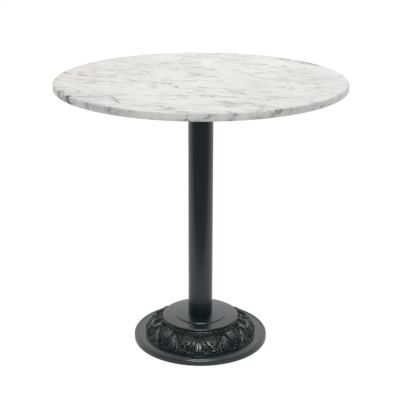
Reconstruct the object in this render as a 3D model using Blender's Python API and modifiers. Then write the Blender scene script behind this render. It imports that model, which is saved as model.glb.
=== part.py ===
"""A round bistro table: a marble slab on a four-armed iron spider, a steel column and a cast iron base.

Units are metres, +Z is up and the origin lies on the floor under the middle of the column.
A tie rod through the column clamps spider, column and base together. Four screw glides level the base.
"""

import math

import bmesh
import bpy
from mathutils import Matrix, Vector

# ---------------------------------------------------------------- driving sizes
TABLE_HEIGHT = 0.737  # floor to the top of the slab
GAP = 0.0003  # left between pieces that touch

TOP_DIAMETER = 0.762
TOP_THICKNESS = 0.018
TOP_UPPER_ROUND = 0.006
TOP_LOWER_ROUND = 0.003

COLUMN_DIAMETER = 0.0665
COLUMN_WALL = 0.002

BASE_DIAMETER = 0.370
BASE_HEIGHT = 0.074  # floor to the face that the column stands on
FLOOR_CLEARANCE = 0.003  # under the rim of the casting
UPPER_DISC_MARGIN = 0.0384  # what each disc stands out past the one above it
LOWER_DISC_MARGIN = 0.0335
DISC_STEP = 0.003
LEAF_BAND_STEP = 0.0067  # lower disc down to the top of the leaf band
LEAF_TIP_LIFT = 0.0043  # foot of the leaf band above the ledge
BAND_FLATNESS = 1.4  # how long the leaf band stays level before it falls
BAND_ROUNDNESS = 0.83  # how steeply it meets the ledge
LEDGE_WIDTH = 0.008  # between the leaf band and the bead round the rim
BEAD_WIDTH = 0.0095
LEDGE_HEIGHT = 0.0182
BASE_WALL = 0.008
RIM_WALL = 0.010
RIB_THICKNESS = 0.007
RIB_CLEARANCE = 0.014  # floor to the underside of a rib
RIB_ROOT_DROP = 0.0015  # a rib's underside below the middle boss, where they meet
BASE_BOSS_MARGIN = 0.004  # what the middle boss stands out past its plate washer
SPIGOT_HEIGHT = 0.012
SPIGOT_PLAY = 0.00045  # round a spigot inside the column

SPIDER_REACH = 0.205  # axis to the tip of an arm
ARM_ROOT_WIDTH = 0.040
ARM_TIP_WIDTH = 0.028
ARM_THICKNESS = 0.007
ARM_RIB_DEPTH = 0.009
SPIDER_HUB_DEPTH = 0.018
SPIDER_HUB_MARGIN = 0.008  # what the hub stands out past the column

TIE_ROD_RADIUS = 0.005
TIE_ROD_HOLE_PLAY = 0.0006
NUT_HEIGHT = 0.008
NUT_WIDTH = 0.016  # across the flats
TOP_WASHER_RADIUS = 0.0105
TOP_WASHER_THICKNESS = 0.002
PLATE_WASHER_RADIUS = 0.020
PLATE_WASHER_THICKNESS = 0.003
SPRING_WASHER_RADIUS = 0.0090
SPRING_WASHER_THICKNESS = 0.0022
SPRING_WASHER_SLIT = 0.0012
SPRING_WASHER_SLIT_TILT = 35  # degrees
ROD_END_PAST_NUT = 0.004
ROD_END_HEIGHT = 0.013  # floor to the lower end of the tie rod
POCKET_PLAY = 0.004  # round the washer in the spider's pocket, room for a socket

BOLT_RADIUS = 0.003
BOLT_HEAD_WIDTH = 0.010
BOLT_HEAD_HEIGHT = 0.004
BOLT_HOLE_PLAY = 0.0005
BOLT_WASHER_RADIUS = 0.006
BOLT_WASHER_THICKNESS = 0.0016
BOLT_ENGAGEMENT = 0.010  # thread inside the insert
INSERT_RADIUS = 0.005
INSERT_LENGTH = 0.012
THREAD_PLAY = 0.0003  # round a thread in its hole

FOOT_COUNT = 4
FOOT_RIM_CLEARANCE = 0.0165  # between a pad and the rim
PAD_RADIUS = 0.014
PAD_HEIGHT = 0.006
PAD_SOLE = 0.0018
PAD_LIP = 0.0017
STUD_RADIUS = 0.004
STUD_THREAD_LENGTH = 0.020
STUD_NECK_RADIUS = 0.0045
STUD_FLANGE_RADIUS = 0.0065
STUD_HEX_WIDTH = 0.013
STUD_HEX_HEIGHT = 0.005
STUD_PLAY = 0.0005  # round the stud's flange and neck in the pad
FOOT_BOSS_RADIUS = 0.0095

CHAMFER = 0.001
WIDE_SEGMENTS = 96
BASE_SEGMENTS = 56
COLUMN_SEGMENTS = 40
SMALL_SEGMENTS = 16
ROUND_STEPS = 4  # faces in a quarter round
BAND_STEPS = 6  # faces down the leaf band
BEAD_START = 140  # degrees, where the bead round the rim rises from the ledge

# ---------------------------------------------------------------- sizes that follow
top_radius = TOP_DIAMETER / 2
top_underside = TABLE_HEIGHT - TOP_THICKNESS
spider_top = top_underside - GAP
column_radius = COLUMN_DIAMETER / 2
spigot_radius = column_radius - COLUMN_WALL - SPIGOT_PLAY
base_radius = BASE_DIAMETER / 2
upper_disc_radius = column_radius + UPPER_DISC_MARGIN
lower_disc_radius = upper_disc_radius + LOWER_DISC_MARGIN
bead_inner_radius = base_radius - BEAD_WIDTH
leaf_band_radius = bead_inner_radius - LEDGE_WIDTH
leaf_band_top = BASE_HEIGHT - 2 * DISC_STEP - LEAF_BAND_STEP
leaf_band_bottom = LEDGE_HEIGHT + LEAF_TIP_LIFT
bolt_circle = SPIDER_REACH - ARM_TIP_WIDTH / 2
foot_circle = base_radius - RIM_WALL - FOOT_RIM_CLEARANCE - PAD_RADIUS
rod_hole_radius = TIE_ROD_RADIUS + TIE_ROD_HOLE_PLAY
foot_angles = [math.tau * i / FOOT_COUNT for i in range(FOOT_COUNT)]
arm_angles = [math.tau * (i + 0.5) / FOOT_COUNT for i in range(FOOT_COUNT)]


def clear_scene():
    for thing in list(bpy.data.objects):
        bpy.data.objects.remove(thing, do_unlink=True)


clear_scene()
table = bpy.data.collections.new("bistro_table")
cutters = bpy.data.collections.new("cutters")
for group in (table, cutters):
    bpy.context.scene.collection.children.link(group)


# ---------------------------------------------------------------- helpers
def finish(name, hex_colour, roughness, metallic=0.0):
    """A plain Principled material from an sRGB hex colour."""
    made = bpy.data.materials.new(name)
    made.use_nodes = True
    shader = made.node_tree.nodes["Principled BSDF"]
    channels = [int(hex_colour[i : i + 2], 16) / 255 for i in (0, 2, 4)]
    linear = [c / 12.92 if c <= 0.04045 else ((c + 0.055) / 1.055) ** 2.4 for c in channels]
    shader.inputs["Base Color"].default_value = (*linear, 1)
    shader.inputs["Roughness"].default_value = roughness
    shader.inputs["Metallic"].default_value = metallic
    return made


def place(name, mesh, look=None, at=(0, 0, 0)):
    """An object in the table's collection, or among the cutters when it has no look of its own."""
    made = bpy.data.objects.new(name, mesh)
    made.location = at
    if look:
        mesh.materials.append(look)
        table.objects.link(made)
    else:
        made.hide_render = True
        made.display_type = "WIRE"
        cutters.objects.link(made)
    return made


def turned(name, profile, segments, look=None, at=(0, 0, 0)):
    """A turned solid. The profile runs down its outer side; one that leaves the axis closes on itself."""
    mesh = bpy.data.meshes.new(name)
    edges = [(i, i + 1) for i in range(len(profile) - 1)]
    if profile[0][0] > 0:
        edges.append((len(profile) - 1, 0))
    mesh.from_pydata([(r, 0, z) for r, z in profile], edges, [])
    made = place(name, mesh, look, at)
    screw = made.modifiers.new("turn", "SCREW")
    screw.axis = "Z"
    screw.angle = math.tau
    screw.steps = screw.render_steps = segments
    screw.use_merge_vertices = True
    screw.merge_threshold = 0.00001
    screw.use_smooth_shade = True
    return made


def prism(name, radius, low, high, sides, look=None, at=(0, 0, 0)):
    """An upright prism or cylinder between two heights."""
    mesh = bpy.data.meshes.new(name)
    shape = bmesh.new()
    bmesh.ops.create_cone(
        shape, cap_ends=True, segments=sides, radius1=radius, radius2=radius, depth=high - low
    )
    bmesh.ops.translate(shape, verts=shape.verts, vec=(0, 0, (low + high) / 2))
    shape.to_mesh(mesh)
    shape.free()
    return place(name, mesh, look, at)


def flat_outline(name, outline, thickness, stand_up=False, look=None):
    """A plate cut to a flat outline, centred on its plane, lying down or standing along X."""
    curve = bpy.data.curves.new(name, "CURVE")
    curve.dimensions = "2D"
    curve.fill_mode = "BOTH"
    curve.extrude = thickness / 2
    spline = curve.splines.new("POLY")
    spline.points.add(len(outline) - 1)
    for point, (u, v) in zip(spline.points, outline):
        point.co = (u, v, 0, 1)
    spline.use_cyclic_u = True
    drawn = bpy.data.objects.new(name + "_outline", curve)
    if stand_up:
        drawn.rotation_euler = (math.pi / 2, 0, 0)
    bpy.context.scene.collection.objects.link(drawn)
    bpy.context.view_layer.update()
    evaluated = drawn.evaluated_get(bpy.context.evaluated_depsgraph_get())
    mesh = bpy.data.meshes.new_from_object(evaluated)
    shape = bmesh.new()
    shape.from_mesh(mesh)
    bmesh.ops.remove_doubles(shape, verts=shape.verts, dist=0.00001)
    bmesh.ops.transform(shape, matrix=drawn.matrix_world, verts=shape.verts)
    shape.to_mesh(mesh)
    shape.free()
    bpy.data.objects.remove(drawn, do_unlink=True)
    return place(name, mesh, look)


def combine(target, other, operation="DIFFERENCE"):
    """Cuts one object out of another, or joins it on."""
    step = target.modifiers.new(other.name, "BOOLEAN")
    step.operation = operation
    step.solver = "EXACT"
    step.object = other


def ring_section(outer, inner, low, high):
    """The square section of a washer, running down its outer side."""
    return [(outer, high), (outer, low), (inner, low), (inner, high)]


def arc(centre_r, centre_z, radius, start, end, steps):
    """Points of an arc from one angle in degrees to another, in a profile or an outline."""
    angles = [math.radians(start + (end - start) * i / steps) for i in range(steps + 1)]
    return [(centre_r + radius * math.cos(a), centre_z + radius * math.sin(a)) for a in angles]


def around(radius, angle):
    return (radius * math.cos(angle), radius * math.sin(angle), 0)


def across_flats(width):
    """The corner radius of a hexagon from its width across the flats."""
    return width / 2 / math.cos(math.pi / 6)


marble = finish("polished_marble", "E6E7E4", 0.18)
paint = finish("green_black_enamel", "262F31", 0.32)
iron = finish("painted_iron", "1C2022", 0.5)
zinc = finish("zinc_plated_steel", "B4B7B9", 0.35, 1.0)
brass = finish("insert_brass", "B79A5A", 0.35, 1.0)
nylon = finish("black_nylon", "1B1B1C", 0.55)


# ---------------------------------------------------------------- tabletop and its inserts
insert_hole_top = top_underside + GAP + INSERT_LENGTH + GAP


def make_tabletop():
    profile = [(0, TABLE_HEIGHT)]
    upper_centre = TABLE_HEIGHT - TOP_UPPER_ROUND
    profile += arc(top_radius - TOP_UPPER_ROUND, upper_centre, TOP_UPPER_ROUND, 90, 0, ROUND_STEPS)
    lower_centre = top_underside + TOP_LOWER_ROUND
    profile += arc(top_radius - TOP_LOWER_ROUND, lower_centre, TOP_LOWER_ROUND, 0, -90, ROUND_STEPS // 2)
    profile.append((0, top_underside))
    slab = turned("tabletop", profile, WIDE_SEGMENTS, marble)
    for number, angle in enumerate(arm_angles, 1):
        hole = prism(
            f"insert_hole_{number}",
            INSERT_RADIUS + GAP,
            top_underside - CHAMFER,
            insert_hole_top,
            SMALL_SEGMENTS,
            at=around(bolt_circle, angle),
        )
        combine(slab, hole)


def make_top_fixings():
    """An insert in the slab, a bolt up into it, and a washer under the spider's arm, at each arm."""
    insert_bottom = top_underside + GAP
    arm_underside = spider_top - ARM_THICKNESS
    washer_top = arm_underside - GAP
    washer_bottom = washer_top - BOLT_WASHER_THICKNESS
    head_top = washer_bottom - GAP
    head_bottom = head_top - BOLT_HEAD_HEIGHT
    bolt_end = insert_bottom + BOLT_ENGAGEMENT
    bore = BOLT_RADIUS + THREAD_PLAY
    for number, angle in enumerate(arm_angles, 1):
        spot = around(bolt_circle, angle)
        section = ring_section(INSERT_RADIUS, bore, insert_bottom, insert_bottom + INSERT_LENGTH)
        turned(f"slab_insert_{number}", section, SMALL_SEGMENTS, brass, spot)
        washer_hole = BOLT_RADIUS + BOLT_HOLE_PLAY
        section = ring_section(BOLT_WASHER_RADIUS, washer_hole, washer_bottom, washer_top)
        turned(f"top_bolt_washer_{number}", section, SMALL_SEGMENTS, zinc, spot)
        corner = across_flats(BOLT_HEAD_WIDTH)
        bolt = prism(f"top_bolt_{number}", corner, head_bottom, head_top, 6, zinc, spot)
        shank_profile = [
            (0, bolt_end),
            (BOLT_RADIUS - CHAMFER, bolt_end),
            (BOLT_RADIUS, bolt_end - CHAMFER),
            (BOLT_RADIUS, head_top - CHAMFER),
            (0, head_top - CHAMFER),
        ]
        shank = turned(f"top_bolt_shank_{number}", shank_profile, SMALL_SEGMENTS, at=spot)
        combine(bolt, shank, "UNION")


# ---------------------------------------------------------------- spider
spider_hub_bottom = spider_top - SPIDER_HUB_DEPTH
pocket_radius = TOP_WASHER_RADIUS + POCKET_PLAY
pocket_floor = spider_top - NUT_HEIGHT - TOP_WASHER_THICKNESS - 3 * GAP - CHAMFER


def arm_outline():
    """The spider seen from above: four tapered arms with round tips, in one outline."""
    outline = []
    tip_centre = SPIDER_REACH - ARM_TIP_WIDTH / 2
    for angle in arm_angles:
        corners = [(ARM_ROOT_WIDTH / 2, -ARM_ROOT_WIDTH / 2)]
        corners += arc(tip_centre, 0, ARM_TIP_WIDTH / 2, -90, 90, 2 * ROUND_STEPS)
        spin = Matrix.Rotation(angle, 2)
        outline += [tuple(spin @ Vector(corner)) for corner in corners]
    return outline


def make_spider():
    hub_radius = column_radius + SPIDER_HUB_MARGIN
    boss_bottom = spider_hub_bottom - SPIGOT_HEIGHT
    profile = [
        (pocket_radius, spider_top),
        (hub_radius - CHAMFER, spider_top),
        (hub_radius, spider_top - CHAMFER),
        (hub_radius, spider_hub_bottom + CHAMFER),
        (hub_radius - CHAMFER, spider_hub_bottom),
        (spigot_radius, spider_hub_bottom),
        (spigot_radius, boss_bottom + CHAMFER),
        (spigot_radius - CHAMFER, boss_bottom),
        (rod_hole_radius, boss_bottom),
        (rod_hole_radius, pocket_floor),
        (pocket_radius, pocket_floor),
    ]
    spider = turned("spider", profile, COLUMN_SEGMENTS, iron)
    plate = flat_outline("spider_arms", arm_outline(), ARM_THICKNESS)
    plate.location.z = spider_top - ARM_THICKNESS / 2
    pocket = prism(
        "spider_pocket", pocket_radius, pocket_floor, spider_top + CHAMFER, COLUMN_SEGMENTS
    )
    combine(plate, pocket)
    combine(spider, plate, "UNION")
    rib_end = bolt_circle - 2 * BOLT_WASHER_RADIUS
    rib_top = spider_top - ARM_THICKNESS / 2
    rib_outline = [
        (hub_radius - 2 * CHAMFER, rib_top),
        (rib_end, rib_top),
        (rib_end, spider_top - ARM_THICKNESS - CHAMFER),
        (hub_radius - 2 * CHAMFER, spider_top - ARM_THICKNESS - ARM_RIB_DEPTH),
    ]
    for number, angle in enumerate(arm_angles, 1):
        rib = flat_outline(f"spider_rib_{number}", rib_outline, RIB_THICKNESS, stand_up=True)
        rib.rotation_euler.z = angle
        combine(spider, rib, "UNION")
        hole = prism(
            f"spider_bolt_hole_{number}",
            BOLT_RADIUS + BOLT_HOLE_PLAY,
            spider_top - ARM_THICKNESS - CHAMFER,
            spider_top + CHAMFER,
            SMALL_SEGMENTS,
            at=around(bolt_circle, angle),
        )
        combine(spider, hole)


# ---------------------------------------------------------------- column, tie rod and its nuts
column_bottom = BASE_HEIGHT + GAP
column_top = spider_hub_bottom - GAP
top_washer_bottom = pocket_floor + GAP
top_nut_bottom = top_washer_bottom + TOP_WASHER_THICKNESS + GAP
base_nut_top = ROD_END_HEIGHT + ROD_END_PAST_NUT + NUT_HEIGHT
spring_washer_top = base_nut_top + GAP + SPRING_WASHER_THICKNESS
plate_washer_top = spring_washer_top + GAP + PLATE_WASHER_THICKNESS
base_boss_bottom = plate_washer_top + GAP
base_boss_radius = PLATE_WASHER_RADIUS + BASE_BOSS_MARGIN


def make_nut(name, bottom):
    nut = prism(name, across_flats(NUT_WIDTH), bottom, bottom + NUT_HEIGHT, 6, zinc)
    bore = prism(
        name + "_bore",
        TIE_ROD_RADIUS + THREAD_PLAY,
        bottom - CHAMFER,
        bottom + NUT_HEIGHT + CHAMFER,
        SMALL_SEGMENTS,
    )
    combine(nut, bore)


def make_column():
    inner = column_radius - COLUMN_WALL
    section = ring_section(column_radius, inner, column_bottom, column_top)
    turned("column_tube", section, COLUMN_SEGMENTS, paint)
    rod_top = top_nut_bottom + NUT_HEIGHT
    rod_profile = [
        (0, rod_top),
        (TIE_ROD_RADIUS - CHAMFER, rod_top),
        (TIE_ROD_RADIUS, rod_top - CHAMFER),
        (TIE_ROD_RADIUS, ROD_END_HEIGHT + CHAMFER),
        (TIE_ROD_RADIUS - CHAMFER, ROD_END_HEIGHT),
        (0, ROD_END_HEIGHT),
    ]
    turned("tie_rod", rod_profile, SMALL_SEGMENTS, zinc)
    hole = rod_hole_radius
    section = ring_section(
        TOP_WASHER_RADIUS, hole, top_washer_bottom, top_washer_bottom + TOP_WASHER_THICKNESS
    )
    turned("tie_rod_top_washer", section, SMALL_SEGMENTS, zinc)
    make_nut("tie_rod_top_nut", top_nut_bottom)
    section = ring_section(
        PLATE_WASHER_RADIUS, hole, plate_washer_top - PLATE_WASHER_THICKNESS, plate_washer_top
    )
    turned("base_plate_washer", section, COLUMN_SEGMENTS, zinc)
    section = ring_section(
        SPRING_WASHER_RADIUS, hole, spring_washer_top - SPRING_WASHER_THICKNESS, spring_washer_top
    )
    spring = turned("base_spring_washer", section, SMALL_SEGMENTS, zinc)
    slit_mesh = bpy.data.meshes.new("spring_washer_slit")
    slit = bmesh.new()
    bmesh.ops.create_cube(slit, size=1)
    slit_size = (2 * SPRING_WASHER_RADIUS, SPRING_WASHER_SLIT, 4 * SPRING_WASHER_THICKNESS)
    bmesh.ops.scale(slit, verts=slit.verts, vec=slit_size)
    slit_tilt = math.radians(SPRING_WASHER_SLIT_TILT)
    bmesh.ops.rotate(slit, verts=slit.verts, matrix=Matrix.Rotation(slit_tilt, 3, "X"))
    slit_middle = (SPRING_WASHER_RADIUS, 0, spring_washer_top - SPRING_WASHER_THICKNESS / 2)
    bmesh.ops.translate(slit, verts=slit.verts, vec=slit_middle)
    slit.to_mesh(slit_mesh)
    slit.free()
    combine(spring, place("spring_washer_slit", slit_mesh))
    make_nut("base_nut", base_nut_top - NUT_HEIGHT)


# ---------------------------------------------------------------- base casting
foot_stud_bottom = PAD_SOLE + GAP
hex_bottom = PAD_HEIGHT + GAP
hex_top = hex_bottom + STUD_HEX_HEIGHT
foot_boss_bottom = hex_top + GAP
stud_top = hex_top + STUD_THREAD_LENGTH
stud_hole_top = stud_top + CHAMFER


def leaf_band_drop(share):
    """Height left, from 1 to 0, as the leaf band runs out from the disc and rolls over to the ledge."""
    return (1 - share**BAND_FLATNESS) ** BAND_ROUNDNESS


def swept_band(inner, outer, high, low, steps):
    """Points down the rolled-over band between two radii."""
    points = []
    for i in range(steps + 1):
        share = math.sin(math.pi / 2 * i / steps)
        points.append((inner + (outer - inner) * share, low + (high - low) * leaf_band_drop(share)))
    return points


underside_roof = BASE_HEIGHT - 2 * DISC_STEP - BASE_WALL
inner_band_radius = leaf_band_radius - BASE_WALL
inner_band_bottom = FLOOR_CLEARANCE + RIM_WALL
inner_band_top = leaf_band_top - BASE_WALL
roof_edge = lower_disc_radius - BASE_WALL / 2


def underside_height(radius):
    """Height of the casting's inner surface at a radius between the boss and the rim."""
    if radius <= roof_edge:
        return underside_roof
    share = min(1.0, (radius - roof_edge) / (inner_band_radius - roof_edge))
    return inner_band_bottom + (inner_band_top - inner_band_bottom) * leaf_band_drop(share)


def base_profile():
    spigot_top = BASE_HEIGHT + SPIGOT_HEIGHT
    step = DISC_STEP
    outer = [
        (rod_hole_radius, spigot_top),
        (spigot_radius - CHAMFER, spigot_top),
        (spigot_radius, spigot_top - CHAMFER),
        (spigot_radius, BASE_HEIGHT),
        (upper_disc_radius - CHAMFER, BASE_HEIGHT),
        (upper_disc_radius, BASE_HEIGHT - CHAMFER),
        (upper_disc_radius, BASE_HEIGHT - step),
        (lower_disc_radius - 1.5 * CHAMFER, BASE_HEIGHT - 1.5 * step),
        (lower_disc_radius, BASE_HEIGHT - 2 * step),
    ]
    outer += swept_band(lower_disc_radius, leaf_band_radius, leaf_band_top, leaf_band_bottom, BAND_STEPS)
    bead_radius = (base_radius - bead_inner_radius) / 2
    bead_middle = bead_inner_radius + bead_radius
    outer += [
        (leaf_band_radius + CHAMFER, LEDGE_HEIGHT),
        (bead_inner_radius - CHAMFER, LEDGE_HEIGHT - CHAMFER / 2),
        (bead_inner_radius, LEDGE_HEIGHT - 2.5 * CHAMFER),
    ]
    bead_centre = LEDGE_HEIGHT - bead_radius
    outer += arc(bead_middle, bead_centre, bead_radius, BEAD_START, 0, ROUND_STEPS)
    rim_bottom = FLOOR_CLEARANCE
    outer += [
        (base_radius, rim_bottom + CHAMFER),
        (base_radius - CHAMFER, rim_bottom),
        (base_radius - RIM_WALL, rim_bottom),
        (base_radius - RIM_WALL - CHAMFER, inner_band_bottom),
    ]
    inner = swept_band(roof_edge, inner_band_radius, inner_band_top, inner_band_bottom, BAND_STEPS - 1)
    inner.reverse()
    inner += [
        (roof_edge - BASE_WALL, underside_roof),
        (base_boss_radius, underside_roof),
        (base_boss_radius, base_boss_bottom),
        (rod_hole_radius, base_boss_bottom),
    ]
    return outer + inner


def rib_outline():
    """A rib from the boss to the rim: its upper edge lies inside the casting's wall."""
    into_wall = BASE_WALL / 2
    start = base_boss_radius - 2 * CHAMFER
    outline = [(start, underside_roof + into_wall), (roof_edge, underside_roof - into_wall)]
    for i in range(1, BAND_STEPS):
        share = math.sin(math.pi / 2 * i / (BAND_STEPS - 1))
        radius = roof_edge + (inner_band_radius - roof_edge) * share
        outline.append((radius, underside_height(radius) + into_wall))
    outline.append((base_radius - RIM_WALL, inner_band_bottom + into_wall))
    outline.append((base_radius - RIM_WALL, RIB_CLEARANCE))
    outline.append((base_boss_radius, base_boss_bottom - RIB_ROOT_DROP))
    outline.append((start, base_boss_bottom + CHAMFER))
    return outline


def make_base():
    base = turned("base_casting", base_profile(), BASE_SEGMENTS, paint)
    boss_top = underside_height(foot_circle) + BASE_WALL / 4
    for number, angle in enumerate(foot_angles, 1):
        rib = flat_outline(f"base_rib_{number}", rib_outline(), RIB_THICKNESS, stand_up=True)
        rib.rotation_euler.z = angle
        combine(base, rib, "UNION")
        spot = around(foot_circle, angle)
        boss = prism(
            f"foot_boss_{number}", FOOT_BOSS_RADIUS, foot_boss_bottom, boss_top, SMALL_SEGMENTS, at=spot
        )
        combine(base, boss, "UNION")
        hole = prism(
            f"foot_hole_{number}",
            STUD_RADIUS + THREAD_PLAY,
            foot_boss_bottom - CHAMFER,
            stud_hole_top,
            SMALL_SEGMENTS,
            at=spot,
        )
        combine(base, hole)


# ---------------------------------------------------------------- levelling glides
def make_foot(number, angle):
    """A nylon pad on the floor, and the screwed stud whose flange turns inside it."""
    spot = around(foot_circle, angle)
    neck_hole = STUD_NECK_RADIUS + STUD_PLAY
    recess = STUD_FLANGE_RADIUS + STUD_PLAY
    lip_bottom = PAD_HEIGHT - PAD_LIP
    pad_profile = [
        (0, PAD_SOLE),
        (recess, PAD_SOLE),
        (recess, lip_bottom),
        (neck_hole, lip_bottom),
        (neck_hole, PAD_HEIGHT),
        (PAD_RADIUS - 2 * CHAMFER, PAD_HEIGHT),
        (PAD_RADIUS, PAD_HEIGHT - 2 * CHAMFER),
        (PAD_RADIUS, CHAMFER),
        (PAD_RADIUS - CHAMFER, 0),
        (0, 0),
    ]
    turned(f"foot_{number}_pad", pad_profile, SMALL_SEGMENTS, nylon, spot)
    flange_top = lip_bottom - GAP
    stud_profile = [
        (0, stud_top),
        (STUD_RADIUS - CHAMFER, stud_top),
        (STUD_RADIUS, stud_top - CHAMFER),
        (STUD_RADIUS, hex_bottom + CHAMFER),
        (STUD_NECK_RADIUS, hex_bottom + CHAMFER),
        (STUD_NECK_RADIUS, flange_top),
        (STUD_FLANGE_RADIUS, flange_top),
        (STUD_FLANGE_RADIUS, foot_stud_bottom),
        (0, foot_stud_bottom),
    ]
    stud = turned(f"foot_{number}_stud", stud_profile, SMALL_SEGMENTS, zinc, spot)
    corner = across_flats(STUD_HEX_WIDTH)
    collar = prism(f"foot_{number}_hex", corner, hex_bottom, hex_top, 6, at=spot)
    combine(stud, collar, "UNION")


make_tabletop()
make_top_fixings()
make_spider()
make_column()
make_base()
for foot_number, foot_angle in enumerate(foot_angles, 1):
    make_foot(foot_number, foot_angle)
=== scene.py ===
# %% [markdown]
# # A marble bistro table on a cast iron pedestal
# The table stands on one steel column, between a marble slab and a domed iron base with a band of acanthus
# leaves. The measured model gives every size and every moving body. This script makes the surfaces that
# the eye sees, and it reads each place from that model, so nothing has to be fitted afterwards.

# %% The measured model
import math

import bmesh
import bpy
import numpy as np
from mathutils import Matrix, Vector


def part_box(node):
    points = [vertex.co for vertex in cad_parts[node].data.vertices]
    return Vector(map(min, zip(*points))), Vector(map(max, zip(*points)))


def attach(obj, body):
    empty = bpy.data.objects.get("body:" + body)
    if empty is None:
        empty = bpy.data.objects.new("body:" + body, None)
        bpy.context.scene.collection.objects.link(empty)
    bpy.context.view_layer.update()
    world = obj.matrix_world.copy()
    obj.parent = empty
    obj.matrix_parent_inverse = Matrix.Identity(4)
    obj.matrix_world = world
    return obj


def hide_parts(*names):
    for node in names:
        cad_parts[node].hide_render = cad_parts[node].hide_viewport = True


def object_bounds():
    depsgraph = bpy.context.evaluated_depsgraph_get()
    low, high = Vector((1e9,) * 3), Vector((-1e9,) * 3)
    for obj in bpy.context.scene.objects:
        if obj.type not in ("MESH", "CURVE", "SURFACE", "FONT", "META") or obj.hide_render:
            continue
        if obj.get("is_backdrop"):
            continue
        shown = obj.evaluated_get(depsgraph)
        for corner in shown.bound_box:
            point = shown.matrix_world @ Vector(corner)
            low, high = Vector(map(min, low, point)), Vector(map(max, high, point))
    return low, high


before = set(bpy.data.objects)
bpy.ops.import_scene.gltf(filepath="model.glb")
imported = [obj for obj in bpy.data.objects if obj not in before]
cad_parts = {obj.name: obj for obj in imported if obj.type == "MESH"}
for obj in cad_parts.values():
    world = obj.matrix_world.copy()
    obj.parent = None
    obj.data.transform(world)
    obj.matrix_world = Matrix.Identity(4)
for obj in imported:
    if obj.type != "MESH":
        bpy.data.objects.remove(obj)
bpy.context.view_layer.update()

print("pieces in the model:", len(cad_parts))

# %% [markdown]
# ## A few helpers
# A turned piece is drawn as half a section and spun round the column's axis. Real edges are never quite
# sharp, so `soften` takes a section with a fillet radius at each corner and puts a short arc there.

# %% Soft sections, spun
MERGE_DISTANCE = 1e-6
MOST_OF_A_SIDE = 0.45  # two arcs on one side never meet


def soften(corners, closed=False, arc_steps=3):
    """Points of a section whose corners (r, z, fillet) are rounded off."""
    points = []
    count = len(corners)
    for i, (r, z, fillet) in enumerate(corners):
        here = Vector((r, z))
        ends = not closed and i in (0, count - 1)
        if fillet <= 0 or ends:
            points.append((r, z))
            continue
        before = Vector(corners[i - 1][:2]) - here
        after = Vector(corners[(i + 1) % count][:2]) - here
        reach = min(fillet, MOST_OF_A_SIDE * before.length, MOST_OF_A_SIDE * after.length)
        start = here + before.normalized() * reach
        end = here + after.normalized() * reach
        for k in range(arc_steps + 1):
            t = k / arc_steps
            blend = start * (1 - t) ** 2 + here * 2 * t * (1 - t) + end * t**2
            points.append((blend.x, blend.y))
    return points


def spun_shape(points, steps, closed=False):
    """A bmesh turned about the vertical axis from section points (r, z), its poles merged."""
    shape = bmesh.new()
    verts = [shape.verts.new((r, 0, z)) for r, z in points]
    edges = [shape.edges.new(pair) for pair in zip(verts, verts[1:])]
    if closed:
        edges.append(shape.edges.new((verts[-1], verts[0])))
    bmesh.ops.spin(
        shape, geom=verts + edges, cent=(0, 0, 0), axis=(0, 0, 1),
        angle=math.tau, steps=steps, use_merge=True, use_duplicate=False,
    )
    bmesh.ops.remove_doubles(shape, verts=shape.verts, dist=MERGE_DISTANCE)
    bmesh.ops.recalc_face_normals(shape, faces=shape.faces)
    return shape


def make_piece(name, shape, look, body, stands_for=(), sharp_from=50):
    """Turns a bmesh into a shown piece that rides on a body."""
    mesh = bpy.data.meshes.new(name)
    shape.to_mesh(mesh)
    shape.free()
    mesh.shade_smooth()
    mesh.set_sharp_from_angle(angle=math.radians(sharp_from))
    piece = bpy.data.objects.new(name, mesh)
    bpy.context.scene.collection.objects.link(piece)
    mesh.materials.append(look)
    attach(piece, body)
    if stands_for:
        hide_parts(*stands_for)
    print(f"{name}: {len(mesh.polygons)} faces")
    return piece


# %% Colours and nodes
def linear(hex_colour, alpha=1.0):
    """An sRGB hex colour as the linear values that a shader takes."""
    channels = [int(hex_colour[i : i + 2], 16) / 255 for i in (1, 3, 5)]
    levels = [c / 12.92 if c <= 0.04045 else ((c + 0.055) / 1.055) ** 2.4 for c in channels]
    return (*levels, alpha)


def add(tree, kind, inputs=None, **settings):
    """Adds a node. An input is a plain value, or the socket that it is linked to."""
    node = tree.nodes.new(kind)
    for key, value in settings.items():
        setattr(node, key, value)
    for key, value in (inputs or {}).items():
        if isinstance(value, bpy.types.NodeSocket):
            tree.links.new(value, node.inputs[key])
        else:
            node.inputs[key].default_value = value
    return node


def new_finish(name):
    """An empty material and its Principled shader."""
    made = bpy.data.materials.new(name)
    made.use_nodes = True
    return made, made.node_tree, made.node_tree.nodes["Principled BSDF"]


# %% [markdown]
# ## Honed Carrara marble
# Carrara is a white marble with a cloudy ground. Its grey veins are old cracks filled with darker minerals.
# They run the same way through the whole block, break up and start again, and come out on the edge where
# the slab was cut. The large veins are drawn and stored on the mesh. The hair-fine streaks between
# them are noise that is stretched along the veins.

# %% Marble: the lie of the stone
VEIN_ANGLE = math.radians(22)  # the veins lean this far towards the front as they run to the right
SWAY = 0.03  # metres by which the veins are bent to and fro

marble, tree, shader = new_finish("honed_carrara_marble")
place = add(tree, "ShaderNodeTexCoord").outputs["Object"]
along = add(tree, "ShaderNodeMapping", {"Vector": place, "Rotation": (0, 0, VEIN_ANGLE)}).outputs[0]
# scale 9 is one bend in about 110 mm
sway = add(tree, "ShaderNodeTexNoise", {"Vector": along, "Scale": 9.0, "Detail": 3.0})
sway_out = add(
    tree, "ShaderNodeVectorMath", {0: sway.outputs["Color"], 1: (0.5, 0.5, 0.5)}, operation="SUBTRACT"
).outputs[0]
bent = add(
    tree, "ShaderNodeVectorMath", {0: sway_out, 1: (SWAY, SWAY, SWAY), 2: along}, operation="MULTIPLY_ADD"
).outputs[0]
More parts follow.
